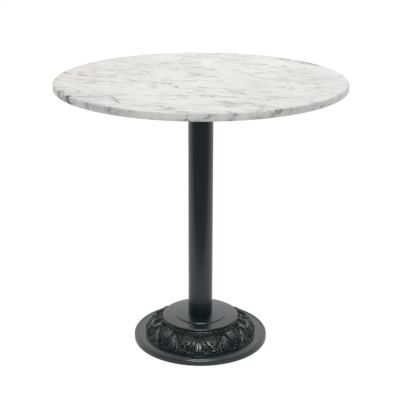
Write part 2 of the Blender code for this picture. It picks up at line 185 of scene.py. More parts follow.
# squeezed across the veins, so that a spot of noise becomes a streak
drawn_out = add(tree, "ShaderNodeMapping", {"Vector": bent, "Scale": (1.0, 7.5, 7.5)}).outputs[0]

# %% Marble: the cloudy ground
# scale 5 is one cloud in 200 mm
ground = add(tree, "ShaderNodeTexNoise", {"Vector": bent, "Scale": 5.0, "Detail": 4.0}).outputs[0]
ground_colour = add(tree, "ShaderNodeValToRGB", {"Fac": ground})
for stop, (position, shade) in zip(ground_colour.color_ramp.elements, [(0.35, "#DADAD7"), (0.65, "#E9E9E5")]):
    stop.position = position
    stop.color = linear(shade)

# %% Marble: fine streaks
# scale 8, drawn out, is a streak of 125 by 17 mm whose finest level is under a millimetre
streak = add(
    tree, "ShaderNodeTexNoise", {"Vector": drawn_out, "Scale": 8.0, "Detail": 8.0, "Roughness": 0.66}
).outputs[0]
streak_mask = add(
    tree, "ShaderNodeMapRange",
    {"Value": streak, "From Min": 0.50, "From Max": 0.66},
    interpolation_type="SMOOTHSTEP",
).outputs[0]
# streaks and cracks come in patches of about 90 mm
patch = add(tree, "ShaderNodeTexNoise", {"Vector": bent, "Scale": 11.0, "Detail": 2.0}).outputs[0]
patch_mask = add(
    tree, "ShaderNodeMapRange",
    {"Value": patch, "From Min": 0.38, "From Max": 0.56},
    interpolation_type="SMOOTHSTEP",
).outputs[0]
fine = add(tree, "ShaderNodeMath", {0: streak_mask, 1: patch_mask}, operation="MULTIPLY").outputs[0]
faint = add(tree, "ShaderNodeMath", {0: fine, 1: 0.42}, operation="MULTIPLY").outputs[0]
streaked = add(
    tree, "ShaderNodeMix", {0: faint, 6: ground_colour.outputs[0], 7: linear("#8E8E8D")}, data_type="RGBA"
).outputs[2]

# %% Marble: a pink end
# iron gives the stone a faint pink towards its left end
end_place = add(tree, "ShaderNodeSeparateXYZ", {0: bent}).outputs["X"]
pink = add(
    tree, "ShaderNodeMapRange", {"Value": end_place, "From Min": -0.20, "From Max": -0.36, "To Max": 0.6}
).outputs[0]
pink_patch = add(tree, "ShaderNodeMath", {0: pink, 1: ground}, operation="MULTIPLY").outputs[0]
tinted = add(
    tree, "ShaderNodeMix", {0: pink_patch, 6: streaked, 7: linear("#D6C4BC")}, data_type="RGBA"
).outputs[2]

# %% Marble: healed cracks
# thin lines that follow the middle level of a noise of 110 by 43 mm
slack = add(tree, "ShaderNodeMapping", {"Vector": bent, "Scale": (1.0, 2.6, 2.6)}).outputs[0]
crack = add(
    tree, "ShaderNodeTexNoise", {"Vector": slack, "Scale": 9.0, "Detail": 9.0, "Roughness": 0.58}
).outputs[0]
off_level = add(tree, "ShaderNodeMath", {0: crack, 1: 0.5}, operation="SUBTRACT").outputs[0]
gap = add(tree, "ShaderNodeMath", {0: off_level}, operation="ABSOLUTE").outputs[0]
crack_line = add(
    tree, "ShaderNodeMapRange",
    {"Value": gap, "From Min": 0.0, "From Max": 0.022, "To Min": 0.62, "To Max": 0.0},
).outputs[0]
cracks = add(tree, "ShaderNodeMath", {0: crack_line, 1: patch_mask}, operation="MULTIPLY").outputs[0]
cracked = add(
    tree, "ShaderNodeMix", {0: cracks, 6: tinted, 7: linear("#777674")}, data_type="RGBA"
).outputs[2]

# %% Marble: the large veins
# a grit of 24 by 3 mm breaks them up
grit = add(
    tree, "ShaderNodeTexNoise", {"Vector": drawn_out, "Scale": 42.0, "Detail": 5.0, "Roughness": 0.65}
).outputs[0]
grit_gain = add(
    tree, "ShaderNodeMapRange",
    {"Value": grit, "From Min": 0.40, "From Max": 0.58, "To Min": 0.60, "To Max": 2.1},
).outputs[0]
marble_colour = cracked
for painted, shade in (("vein", "#4C4B49"), ("brown", "#4A4340")):
    amount = add(tree, "ShaderNodeAttribute", attribute_name=painted).outputs["Fac"]
    share = add(
        tree, "ShaderNodeMath", {0: amount, 1: grit_gain}, operation="MULTIPLY", use_clamp=True
    ).outputs[0]
    marble_colour = add(
        tree, "ShaderNodeMix", {0: share, 6: marble_colour, 7: linear(shade)}, data_type="RGBA"
    ).outputs[2]
tree.links.new(marble_colour, shader.inputs["Base Color"])
shader.inputs["Roughness"].default_value = 0.42  # honed: a soft sheen, and no mirror image
shader.inputs["Specular IOR Level"].default_value = 0.3  # the ground face scatters part of it
shader.inputs["IOR"].default_value = 1.5  # calcite
print("nodes in the marble:", len(tree.nodes))

# %% [markdown]
# ## Green-black enamel
# Column and base are sprayed with one dark green-black enamel. It is smooth and fairly glossy, so the eye
# reads it by the long soft lines of light in it and less by its own colour. It lies smooth on the drawn
# steel tube. On the iron it follows the grain of the sand mould, and it wears thin and greyer on the crests
# of the leaves, which a height stored on the mesh picks out. One function makes every version of it.

# %% Enamel on the tube and on the casting
def enamel(name, grain_mm, grain_depth, relief=False, dark="#081315", light="#0C1B1E"):
    """Sprayed enamel, cloudy in colour and gloss. Its grain is grain_mm wide and grain_depth metres deep."""
    made, tree, shader = new_finish(name)
    place = add(tree, "ShaderNodeTexCoord").outputs["Object"]
    # scale 14 is one cloud in about 70 mm, as a spray gun leaves them
    broad = add(tree, "ShaderNodeTexNoise", {"Vector": place, "Scale": 14.0, "Detail": 3.0}).outputs[0]
    colour = add(
        tree, "ShaderNodeMix", {0: broad, 6: linear(dark), 7: linear(light)}, data_type="RGBA"
    ).outputs[2]
    if relief:
        height = add(tree, "ShaderNodeAttribute", attribute_name="relief").outputs["Fac"]
        # only the top quarter of the relief is worn
        worn = add(
            tree, "ShaderNodeMapRange", {"Value": height, "From Min": 0.75, "From Max": 1.0}
        ).outputs[0]
        colour = add(
            tree, "ShaderNodeMix", {0: worn, 6: colour, 7: linear("#182222")}, data_type="RGBA"
        ).outputs[2]
    tree.links.new(colour, shader.inputs["Base Color"])
    gloss = add(tree, "ShaderNodeMapRange", {"Value": broad, "To Min": 0.24, "To Max": 0.33}).outputs[0]
    tree.links.new(gloss, shader.inputs["Roughness"])
    grain = add(
        tree, "ShaderNodeTexNoise", {"Vector": place, "Scale": 1000 / grain_mm, "Detail": 3.0}
    ).outputs[0]
    bump = add(
        tree, "ShaderNodeBump", {"Height": grain, "Strength": 0.25, "Distance": grain_depth}
    ).outputs[0]
    tree.links.new(bump, shader.inputs["Normal"])
    shader.inputs["IOR"].default_value = 1.6
    return made


# the tube's coat is a little lighter and greener than the iron's, with the orange peel of a spray gun
tube_enamel = enamel("enamel_on_steel_tube", 2.5, 0.00008, dark="#0A2023", light="#0E2C30")
# the real grain is about half a millimetre, which is too fine to show, so it is drawn at 1.6 mm
iron_enamel = enamel("enamel_on_cast_iron", 1.6, 0.0002)
leaf_enamel = enamel("enamel_on_cast_leaves", 1.6, 0.0001, relief=True)

# %% [markdown]
# ## The slab
# The slab is 18 mm thick, with a 6 mm round on its upper edge and a smaller one below. Its face needs an
# even net of points to carry the veins. A square grid drawn out to a disc gives that, where a fan of
# triangles would crowd the middle and thin out at the edge.

# %% Slab
slab_low, slab_high = (Vector(v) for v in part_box("tabletop"))
slab_radius = (slab_high.x - slab_low.x) / 2
UPPER_ROUND = 0.006
LOWER_ROUND = 0.003
UPPER_STEPS = 5
LOWER_STEPS = 3
UNDERSIDE_RING = 0.94  # share of the radius at which the underside's one flat face begins
FACE_DIVISIONS = 262  # a point every 3 mm


def grid_disc(shape, divisions, radius, height):
    """An even grid, drawn out so that its square outline becomes a circle."""
    bmesh.ops.create_grid(shape, x_segments=divisions, y_segments=divisions, size=1.0)
    for vert in shape.verts:
        x, y = vert.co.x, vert.co.y
        vert.co = (radius * x * math.sqrt(1 - y * y / 2), radius * y * math.sqrt(1 - x * x / 2), height)


slab = bmesh.new()
grid_disc(slab, FACE_DIVISIONS, slab_radius - UPPER_ROUND, slab_high.z)
upper_arc = [math.pi / 2 * k / UPPER_STEPS for k in range(1, UPPER_STEPS + 1)]
lower_arc = [math.pi / 2 * k / LOWER_STEPS for k in range(LOWER_STEPS + 1)]
edge_section = [
    (slab_radius - UPPER_ROUND * (1 - math.sin(a)), slab_high.z - UPPER_ROUND * (1 - math.cos(a)))
    for a in upper_arc
]
edge_section.append((slab_radius, (slab_high.z + slab_low.z) / 2))
edge_section += [
    (slab_radius - LOWER_ROUND * (1 - math.cos(a)), slab_low.z + LOWER_ROUND * (1 - math.sin(a)))
    for a in lower_arc
]
edge_section.append((slab_radius * UNDERSIDE_RING, slab_low.z))
rim = [e for e in slab.edges if e.is_boundary]
for ring_radius, ring_height in edge_section:
    grown = bmesh.ops.extrude_edge_only(slab, edges=rim)["geom"]
    rim = [g for g in grown if isinstance(g, bmesh.types.BMEdge)]
    for vert in {v for edge in rim for v in edge.verts}:
        flat = Vector((vert.co.x, vert.co.y)).normalized() * ring_radius
        vert.co = (flat.x, flat.y, ring_height)
bmesh.ops.contextual_create(slab, geom=rim)
bmesh.ops.recalc_face_normals(slab, faces=slab.faces)
tabletop = make_piece("marble_slab", slab, marble, "table", ["tabletop"])

# %% [markdown]
# ## The veins
# Each vein is a few points along its course, in metres from the middle of the slab, with a width, a
# strength and how brown it is. A point on the stone takes its shade from the nearest vein, measured after
# the point has been pushed a little to and fro, which makes the line wander as a crack does.

# %% Veins
# course, width in mm, strength, brownness
VEINS = [
    ([(-0.40, 0.090), (-0.36, 0.074), (-0.30, 0.036), (-0.25, 0.026), (-0.21, 0.006)], 5.0, 0.75, 0.25),
    ([(-0.215, 0.010), (-0.16, -0.036), (-0.11, -0.047), (-0.08, -0.064), (-0.052, -0.118)], 4.5, 0.65, 0.1),
    ([(-0.40, 0.02), (-0.33, -0.062), (-0.27, -0.058), (-0.20, -0.09)], 6.0, 0.32, 0.1),
    ([(-0.31, -0.210), (-0.25, -0.212), (-0.21, -0.196), (-0.165, -0.172)], 4.5, 0.62, 0.15),
    ([(-0.225, -0.205), (-0.208, -0.226), (-0.184, -0.292)], 4.5, 0.6, 0.2),
    (
        [(-0.15, -0.19), (-0.09, -0.200), (-0.048, -0.192),
         (0.016, -0.198), (0.064, -0.212), (0.125, -0.220)],
        4.0, 0.62, 0.0,
    ),
    ([(-0.005, -0.254), (0.048, -0.268), (0.088, -0.277), (0.15, -0.305)], 4.5, 0.62, 0.05),
    ([(-0.03, 0.075), (-0.008, 0.050), (0.03, 0.028), (0.06, 0.022)], 4.0, 0.4, 0.0),
    ([(-0.03, -0.002), (0.00, -0.014), (0.045, -0.044), (0.075, -0.074)], 4.0, 0.5, 0.0),
    ([(0.02, -0.104), (0.075, -0.122), (0.135, -0.142)], 4.0, 0.38, 0.0),
    ([(0.115, -0.092), (0.144, -0.104), (0.19, -0.104), (0.235, -0.118), (0.29, -0.108)], 4.0, 0.55, 0.0),
    ([(0.14, 0.020), (0.184, -0.004), (0.232, -0.026), (0.272, -0.046), (0.31, -0.06)], 4.0, 0.55, 0.0),
    ([(0.235, -0.158), (0.262, -0.140), (0.285, -0.128)], 5.0, 0.55, 0.1),
    ([(0.18, 0.155), (0.235, 0.148)], 6.0, 0.38, 0.0),
    ([(0.15, 0.085), (0.20, 0.080), (0.262, 0.069), (0.33, 0.06)], 4.0, 0.42, 0.0),
    ([(0.215, 0.285), (0.25, 0.262), (0.285, 0.222), (0.33, 0.185)], 22.0, 0.5, 0.0),
    ([(0.27, 0.215), (0.33, 0.180)], 8.0, 0.5, 0.0),
    ([(-0.11, 0.285), (-0.08, 0.262)], 9.0, 0.35, 0.0),
    ([(-0.235, 0.236), (-0.20, 0.222)], 7.0, 0.35, 0.0),
    ([(-0.185, 0.194), (-0.13, 0.186), (-0.09, 0.19)], 5.0, 0.36, 0.0),
    ([(0.06, 0.290), (0.085, 0.272), (0.125, 0.262)], 6.0, 0.35, 0.0),
    ([(-0.06, 0.300), (0.0, 0.295), (0.05, 0.288)], 6.0, 0.22, 0.0),
    ([(0.05, 0.36), (0.12, 0.35)], 6.0, 0.22, 0.0),
    ([(0.0, 0.115), (0.03, 0.100)], 5.0, 0.28, 0.0),
    ([(-0.40, -0.085), (-0.352, -0.105), (-0.31, -0.128)], 6.0, 0.5, 0.4),
    ([(-0.40, -0.120), (-0.345, -0.156), (-0.31, -0.178)], 8.0, 0.7, 0.9),
    ([(-0.39, -0.160), (-0.335, -0.186), (-0.29, -0.222)], 9.0, 0.75, 0.9),
    ([(-0.34, -0.225), (-0.285, -0.262), (-0.23, -0.305), (-0.17, -0.345)], 7.0, 0.5, 0.35),
    ([(-0.25, -0.300), (-0.20, -0.323), (-0.15, -0.352)], 6.0, 0.42, 0.1),
    ([(-0.10, -0.335), (-0.02, -0.368), (0.06, -0.382)], 6.0, 0.5, 0.0),
    ([(0.02, -0.350), (0.09, -0.372)], 5.0, 0.5, 0.1),
    ([(0.11, -0.352), (0.18, -0.330), (0.25, -0.300)], 8.0, 0.42, 0.25),
    ([(0.16, -0.36), (0.22, -0.335), (0.26, -0.300)], 7.0, 0.55, 0.45),
    ([(0.26, -0.29), (0.31, -0.235), (0.35, -0.16)], 5.0, 0.45, 0.0),
]
DIP = 0.8  # the veins go down through the slab at a slant, so they come out further forward on its edge
BROAD_SWAY = 0.006
FINE_SWAY = 0.002
WAVES = 4
FAR = 9.0  # further than any point of the slab
print("veins:", len(VEINS))


# %% Painting the veins
def wander(x, y, scale, seed):
    """A smooth to-and-fro made of a few crossed waves."""
    total = np.zeros_like(x)
    for k in range(1, WAVES + 1):
        turn = seed * 1.7 + k * 2.4
        wave = scale * k * 1.6
        total += np.sin(wave * (x * math.cos(turn) + y * math.sin(turn)) + seed * k) / k
    return total / 2


def paint_veins(mesh):
    """Stores how grey and how brown the stone is at each point of the mesh."""
    points = np.empty(len(mesh.vertices) * 3)
    mesh.vertices.foreach_get("co", points)
    x, y, z = points.reshape(-1, 3).T
    y = y + DIP * (slab_high.z - z)
    warp_x = x + BROAD_SWAY * wander(x, y, 60, 1.0) + FINE_SWAY * wander(x, y, 240, 4.0)
    warp_y = y + BROAD_SWAY * wander(x, y, 60, 2.0) + FINE_SWAY * wander(x, y, 240, 5.0)
    grey, rust = np.zeros_like(x), np.zeros_like(x)
    for number, (course, width_mm, strength, brownness) in enumerate(VEINS):
        nearest, progress = np.full_like(x, FAR), np.zeros_like(x)
        legs = len(course) - 1
        for leg in range(legs):
            ax, ay = course[leg]
            dx, dy = course[leg + 1][0] - ax, course[leg + 1][1] - ay
            share = np.clip(((warp_x - ax) * dx + (warp_y - ay) * dy) / (dx * dx + dy * dy), 0, 1)
            gap = np.hypot(warp_x - ax - share * dx, warp_y - ay - share * dy)
            closer = gap < nearest
            nearest = np.where(closer, gap, nearest)
            progress = np.where(closer, (leg + share) / legs, progress)
        # a vein is weaker at its ends, and comes and goes along its way
        fade = np.clip(4.5 * np.minimum(progress, 1 - progress) + 0.3, 0, 1)
        broken = np.clip(0.62 + 0.75 * wander(x, y, 85, 6.0 + number), 0.12, 1)
        # a dark core of the stated width, in a faint halo three times as wide
        core = np.exp(-((nearest / (width_mm * 0.0005)) ** 2))
        halo = 0.28 * np.exp(-((nearest / (width_mm * 0.0016)) ** 2))
        shade = strength * fade * broken * np.maximum(core, halo)
        grey = np.maximum(grey, shade)
        rust = np.maximum(rust, shade * brownness)
    for name, values in (("vein", grey), ("brown", rust)):
        layer = mesh.attributes.new(name, "FLOAT", "POINT")
        layer.data.foreach_set("value", values.astype(np.float32))


paint_veins(tabletop.data)

# %% [markdown]
# ## The column
# The column is a plain drawn steel tube, sawn to length. The measured model's tube has flat sides, and an
# enamelled tube shows every flat as a kink in its line of light. So it is spun afresh in finer steps.
# Its section is four corners with a touch of fillet, because a saw and a file never leave them sharp.

# %% Column
tube_low, tube_high = (Vector(v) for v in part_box("column_tube"))
tube_radius = (tube_high.x - tube_low.x) / 2
TUBE_WALL = 0.002
SAWN_EDGE = 0.0004
TUBE_STEPS = 128
tube_walls = [(tube_radius, (tube_high.z, tube_low.z)), (tube_radius - TUBE_WALL, (tube_low.z, tube_high.z))]
tube_section = soften([(r, z, SAWN_EDGE) for r, ends in tube_walls for z in ends], closed=True)
column = make_piece(
    "column", spun_shape(tube_section, TUBE_STEPS, closed=True), tube_enamel,
    "table", ["column_tube"],
)

# %% [markdown]
# ## The base casting
# The base is one iron casting: two stepped discs, a band of leaves that rolls over to a ledge, and a bead
# round the rim. Under it are a boss for the tie rod, four ribs and four bosses for the glides. Hub and rim
# are spun here, from a half section with an arc wherever a pattern maker would leave one. The leaf band
# needs a far finer mesh, so it is a piece of its own, let in between the two.

# %% Sizes of the base
base_low, base_high = (Vector(v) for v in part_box("base_casting"))
base_radius = (base_high.x - base_low.x) / 2
FLOOR_GAP = base_low.z
CAD_GAP = 0.0003
BASE_FACE = tube_low.z - CAD_GAP
SPIGOT_PLAY = 0.00045
SPIGOT_RADIUS = tube_radius - TUBE_WALL - SPIGOT_PLAY
ROD_HOLE_RADIUS = 0.0056
UPPER_DISC = tube_radius + 0.0384
LOWER_DISC = UPPER_DISC + 0.0335
LOWER_FACE = BASE_FACE - 0.0034
DISC_FALL = 0.001  # the lower disc's face slopes down by this much to its edge
UPPER_DISC_ROUND = 0.0030
LOWER_DISC_ROUND = 0.0036
UNDERCUT = 0.0022  # the lower disc's edge stands out over its side by this much
BEAD_WIDTH = 0.0095
BEAD_ROUND = 0.0044
LEDGE_WIDTH = 0.0155
LEDGE_TOP = 0.0182
BAND_INNER = LOWER_DISC - 0.002
BAND_OUTER = base_radius - BEAD_WIDTH - LEDGE_WIDTH
BAND_TOP = 0.0613
BAND_FOOT = 0.0195
BAND_ROUND = 2.2  # 1 is a straight slope, and more is rounder
WALL = 0.008
RIM_WALL = 0.010
RIM_INNER = BAND_OUTER - 0.0125  # the ledge goes this far in under the leaves
INNER_FOOT = FLOOR_GAP + RIM_WALL
BOSS_RADIUS = 0.024
ROOF = BASE_FACE - 0.006 - WALL
BOSS_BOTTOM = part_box("base_plate_washer")[1][2] + CAD_GAP
MACHINED = 0.0005
MACHINED_BOSS = 0.0008
CAST_EDGE = 0.0010
CAST_FOOT = 0.0012
CORE_CORNER = 0.004
ROUND_STEPS = 256

# %% Base, hub and rim
def arc(centre_r, centre_z, radius, start, end, steps=5):
    """Corners without a fillet along an arc, from one angle in degrees to another."""
    angles = [math.radians(start + (end - start) * k / steps) for k in range(steps + 1)]
    return [(centre_r + radius * math.cos(a), centre_z + radius * math.sin(a), 0) for a in angles]


hub_corners = [
    (ROD_HOLE_RADIUS, base_high.z, MACHINED),
    (SPIGOT_RADIUS, base_high.z, CAST_EDGE),
    (SPIGOT_RADIUS, BASE_FACE, MACHINED),
    *arc(UPPER_DISC - UPPER_DISC_ROUND, BASE_FACE - UPPER_DISC_ROUND, UPPER_DISC_ROUND, 90, 8),
    (UPPER_DISC + 0.0012, LOWER_FACE, CAST_EDGE),
    *arc(LOWER_DISC - LOWER_DISC_ROUND, LOWER_FACE - DISC_FALL - LOWER_DISC_ROUND, LOWER_DISC_ROUND, 84, -20),
    (LOWER_DISC - UNDERCUT, BAND_TOP + 0.0012, 0.0008),
    (LOWER_DISC - UNDERCUT, BAND_TOP - WALL / 2, 0),
    (LOWER_DISC - WALL / 2 - 0.001, BAND_TOP - WALL, 0.002),
    (LOWER_DISC - 1.5 * WALL, ROOF, CORE_CORNER),
    (BOSS_RADIUS, ROOF, CORE_CORNER),
    (BOSS_RADIUS, BOSS_BOTTOM, MACHINED_BOSS),
    (ROD_HOLE_RADIUS, BOSS_BOTTOM, MACHINED),
]
rim_corners = [
    (RIM_INNER, LEDGE_TOP - 0.0004, 0),
    (base_radius - BEAD_WIDTH - 0.0010, LEDGE_TOP - 0.0008, CAST_EDGE),
    (base_radius - BEAD_WIDTH + 0.0006, LEDGE_TOP - 0.0024, CAST_EDGE),
    *arc(base_radius - BEAD_ROUND, LEDGE_TOP - BEAD_ROUND, BEAD_ROUND, 125, -5, 8),
    (base_radius, FLOOR_GAP, CAST_FOOT),
    (base_radius - RIM_WALL, FLOOR_GAP, CAST_FOOT),
    (base_radius - RIM_WALL - 0.001, INNER_FOOT, 0.003),
    (RIM_INNER, INNER_FOOT, 0),
]
castings = spun_shape(soften(hub_corners, closed=True, arc_steps=4), ROUND_STEPS, closed=True)
rim_mesh = bpy.data.meshes.new("rim")
rim_shape = spun_shape(soften(rim_corners, closed=True, arc_steps=4), ROUND_STEPS, closed=True)
rim_shape.to_mesh(rim_mesh)
rim_shape.free()
castings.from_mesh(rim_mesh)
bpy.data.meshes.remove(rim_mesh)
base = make_piece("base_casting_body", castings, iron_enamel, "table", ["base_casting"])

# %% [markdown]
# ## Ribs and bosses under the base
# Four ribs run from the hub to the rim, each through the boss that carries a glide. They are cast as one
# with the shell, so each reaches a little way into it. A rib follows the shell's inside along its top, and
# gets shallower towards the rim. Its side is a strip of four-cornered faces, drawn out to the rib's
# thickness. One many-cornered face would be split badly where the outline turns in.

# %% The shell that the ribs meet
SHELL_IN = 0.007  # its inside lies this far in from its outside
SHELL_DOWN = 0.0095  # and this far below it


def crest_line(share):
    """Radius and height of the band's outer face, from the discs, 0, to the ledge, 1."""
    height = BAND_FOOT + (BAND_TOP - BAND_FOOT) * (1 - share**BAND_ROUND)
    return BAND_INNER + (BAND_OUTER - BAND_INNER) * share, height


def inner_surface(share):
    """The casting's inside under the same place."""
    radius, height = crest_line(share)
    return radius - SHELL_IN, max(height - SHELL_DOWN, INNER_FOOT)


# %% Ribs and glide bosses under the base
RIB_HALF = 0.0035
RIB_UNDERSIDE = 0.014
RIB_ROOT = 0.002  # how far a rib reaches into the hub and the rim
RIB_BITE = 0.003  # and into the shell
STUD_BORE = 0.0043
BOSS_FOOT = 0.0116
BOSS_FOOT_RADIUS = 0.0095
BOSS_STEPS = 40

stud_boxes = [[Vector(v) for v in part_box(f"foot_{n}_stud")] for n in range(1, 5)]
glide_spots = [low / 2 + high / 2 for low, high in stud_boxes]
stud_top = stud_boxes[0][1].z
rib_end = base_radius - RIM_WALL - 0.0005
shell_points = [inner_surface(k / 8) for k in range(2, 9)]
rib_top = [
    (BOSS_RADIUS - RIB_ROOT, ROOF + RIB_ROOT),
    (LOWER_DISC - WALL, ROOF - RIB_ROOT),
    *[(r, z + RIB_BITE) for r, z in shell_points],
    (rib_end, INNER_FOOT + RIB_ROOT),
]
fall = (BOSS_BOTTOM - 0.0005 - RIB_UNDERSIDE) / (rib_end - BOSS_RADIUS)
# a hollow cone: round the stud, across the flat foot, and up the outside to a narrow neck
boss_section = [
    (STUD_BORE, stud_top + CAD_GAP),
    (STUD_BORE, BOSS_FOOT + 0.0006),
    (STUD_BORE + 0.0006, BOSS_FOOT),
    (BOSS_FOOT_RADIUS - 0.0007, BOSS_FOOT),
    (BOSS_FOOT_RADIUS, BOSS_FOOT + 0.0007),
    (BOSS_FOOT_RADIUS, 0.0150),
    (0.0066, 0.0225),
    (0.0046, stud_top + 0.0008),
]
under = bmesh.new()
for spot in glide_spots:
    turn = Matrix.Rotation(math.atan2(spot.y, spot.x), 3, "Z")
    pairs = [
        [under.verts.new(turn @ Vector((r, -RIB_HALF, h))) for h in (RIB_UNDERSIDE + fall * (rib_end - r), z)]
        for r, z in rib_top
    ]
    side = [under.faces.new((a[0], b[0], b[1], a[1])) for a, b in zip(pairs, pairs[1:])]
    grown = bmesh.ops.extrude_face_region(under, geom=side, use_keep_orig=True)["geom"]
    far_side = [g for g in grown if isinstance(g, bmesh.types.BMVert)]
    bmesh.ops.translate(under, verts=far_side, vec=turn @ Vector((0, 2 * RIB_HALF, 0)))
    loop = [under.verts.new((spot.x + r, spot.y, z)) for r, z in boss_section]
    edges = [under.edges.new(pair) for pair in zip(loop, loop[1:])]
    bmesh.ops.spin(
        under, geom=loop + edges, cent=(spot.x, spot.y, 0), axis=(0, 0, 1),
        angle=math.tau, steps=BOSS_STEPS, use_merge=True, use_duplicate=False,
    )
bmesh.ops.remove_doubles(under, verts=under.verts, dist=MERGE_DISTANCE)
bmesh.ops.holes_fill(under, edges=[e for e in under.edges if e.is_boundary], sides=0)
bmesh.ops.recalc_face_normals(under, faces=under.faces)
make_piece("base_ribs_and_bosses", under, iron_enamel, "table", sharp_from=35)

# %% [markdown]
# ## The acanthus leaves
# The ornament repeats twelve times. Each repeat mirrors about its own middle: a palmette of flutes at the
# foot, strands that leave its neck side by side and sweep out to pointed tips, and a smooth eye with a
# rolled rim where two repeats meet. It could be sculpted by hand, but strokes are easier to change. Each
# stroke is a line of points on the unrolled band with a width, and raises a rounded ridge along it.

# %% Strokes of the relief
# Course, width and height. In a course, the first number is across, as the share of a half repeat from its
# middle to the join, and the second is down, as the share of the way from the discs to the rim.
STROKES = [
    # the palmette: stem and flutes
    ([(0.00, 0.36), (0.00, 0.60), (0.00, 0.89)], 0.058, 0.95),
    ([(0.05, 0.44), (0.13, 0.60), (0.20, 0.75), (0.26, 0.90)], 0.078, 1.0),
    ([(0.16, 0.48), (0.29, 0.66), (0.42, 0.79), (0.55, 0.90)], 0.062, 0.92),
    # the strands that sweep out to the join
    ([(0.08, 0.34), (0.15, 0.48), (0.31, 0.62), (0.52, 0.75), (0.75, 0.86), (1.00, 0.92)], 0.062, 1.0),
    ([(0.28, 0.48), (0.37, 0.58), (0.54, 0.69), (0.75, 0.77), (0.98, 0.83)], 0.050, 0.9),
    ([(0.66, 0.92), (0.80, 0.95)], 0.060, 0.5),
    # the rolled rim of the eye, and the curl above its bead
    (
        [(0.62, 0.08), (0.51, 0.20), (0.49, 0.34), (0.51, 0.50), (0.58, 0.61), (0.73, 0.70), (0.92, 0.75)],
        0.055, 1.0,
    ),
    ([(0.48, 0.10), (0.33, 0.20), (0.31, 0.31), (0.42, 0.41)], 0.050, 0.85),
    ([(0.12, 0.12), (0.14, 0.24), (0.10, 0.34)], 0.050, 0.8),
    # short tongues under the discs
    ([(0.00, 0.02), (0.00, 0.24)], 0.050, 0.75),
    ([(0.26, 0.02), (0.24, 0.13)], 0.055, 0.7),
    ([(0.84, 0.02), (0.82, 0.16)], 0.060, 0.6),
]
# round beads: middle, half width, half length, height
BEADS = [
    ((0.45, 0.420), 0.095, 0.060, 1.0),
    ((1.00, 0.630), 0.095, 0.052, 1.0),
]
print("strokes in half a repeat:", len(STROKES))

# %% [markdown]
# ## From strokes to a height
# The height at a point is the highest ridge that passes over it. A ridge is widest on the way and narrow at
# both ends, as a carver's gouge leaves it. What lies between the ridges stays low and in shadow, so the
# eye reads the pattern from its dark grooves as much as from its bright crests.

# %% Height of the relief
BAND_ASPECT = 1.75  # the band is about this many half repeats long
RIDGE_SHAPE = 0.7  # 0.5 is a half circle, and more has a gentler foot
BEAD_SHAPE = 0.6
FAN_HEIGHT = 0.60


def smooth_course(points, samples=44):
    """Points of a smooth curve through the given ones, as an even run."""
    path = [Vector(p) for p in points]
    path = [path[0] * 2 - path[1]] + path + [path[-1] * 2 - path[-2]]
    out = []
    legs = len(points) - 1
    for s in range(samples + 1):
        at = min(s / samples * legs, legs - 1e-6)
        leg, t = int(at), at - int(at)
        p0, p1, p2, p3 = path[leg : leg + 4]
        bend = 2 * p0 - 5 * p1 + 4 * p2 - p3
        twist = 3 * p1 - p0 - 3 * p2 + p3
        out.append(0.5 * (2 * p1 + (p2 - p0) * t + bend * t**2 + twist * t**3))
    return out


def relief_height(across, down):
    """Height of the ornament, 0 to 1, at places given as shares of a half repeat and of the way down."""
    high = np.zeros_like(across)
    for course, width, peak in STROKES:
        run = smooth_course(course)
        for k, point in enumerate(run):
            t = k / (len(run) - 1)
            reach = width * min(1.0, 0.45 + 2.5 * t) * min(1.0, 0.40 + 3.0 * (1 - t))
            gap = np.hypot(across - point.x, (down - point.y) * BAND_ASPECT)
            ridge = peak * np.clip(1 - (gap / reach) ** 2, 0, 1) ** RIDGE_SHAPE
            # a strand rises a little on its way to the tip
            high = np.maximum(high, ridge * (0.80 + 0.20 * t))
    for (mid_x, mid_y), half_width, half_length, peak in BEADS:
        gap = np.hypot((across - mid_x) / half_width, (down - mid_y) / half_length)
        high = np.maximum(high, peak * np.clip(1 - gap**2, 0, 1) ** BEAD_SHAPE)
    # the flutes of a palmette stand on a raised fan, which also covers the bosses of the glides
    opening = 0.14 + 0.55 * (down - 0.5)  # half the fan's width, which grows towards the rim
    fan = np.clip((down - 0.48) / 0.12, 0, 1) * np.clip((opening - across) / 0.10, 0, 1)
    fan *= np.clip((0.97 - down) / 0.08, 0, 1)
    return np.maximum(high, FAN_HEIGHT * fan)


# %% [markdown]
# ## Carving the leaf band
# The band is a closed shell, thick enough to be cast. One repeat of it is spun as a fine net, each point of
# its outer face is sunk by how low the relief is there, and that repeat is then copied round the base.
# Sinking, and not raising, leaves the highest crests on one smooth line, as on a band that was turned first
# and then carved.

# %% Leaf band, one repeat
REPEATS = 12
STEPS_PER_HALF = 46
BAND_ROWS = 84
SKIRT_ROWS = 4  # straight down from the leaves' foot to the ledge
RELIEF_DEPTH = 0.0072
FADE_ROWS = 5  # the relief starts shallow under the discs
TWIST = math.radians(-1.7)  # the nearest palmette stands a little left of the front
half_angle = math.pi / REPEATS
first_angle = TWIST - half_angle
skirt_foot = LEDGE_TOP - 0.0012

crest = [crest_line(k / BAND_ROWS) for k in range(BAND_ROWS + 1)]
skirt = [BAND_FOOT + (skirt_foot - BAND_FOOT) * k / SKIRT_ROWS for k in range(1, SKIRT_ROWS + 1)]
crest += [(BAND_OUTER, z) for z in skirt]
inside = [(BAND_OUTER - 0.0065, skirt_foot - 0.001)] + [inner_surface(k / 10) for k in range(10, -1, -1)]
band = bmesh.new()
relief_layer = band.verts.layers.float.new("relief")
ring = [
    band.verts.new((r * math.sin(first_angle), -r * math.cos(first_angle), z)) for r, z in crest + inside
]
ring_edges = [band.edges.new(pair) for pair in zip(ring, ring[1:] + ring[:1])]
bmesh.ops.spin(
    band, geom=ring + ring_edges, cent=(0, 0, 0), axis=(0, 0, 1),
    angle=2 * half_angle, steps=2 * STEPS_PER_HALF, use_duplicate=False,
)

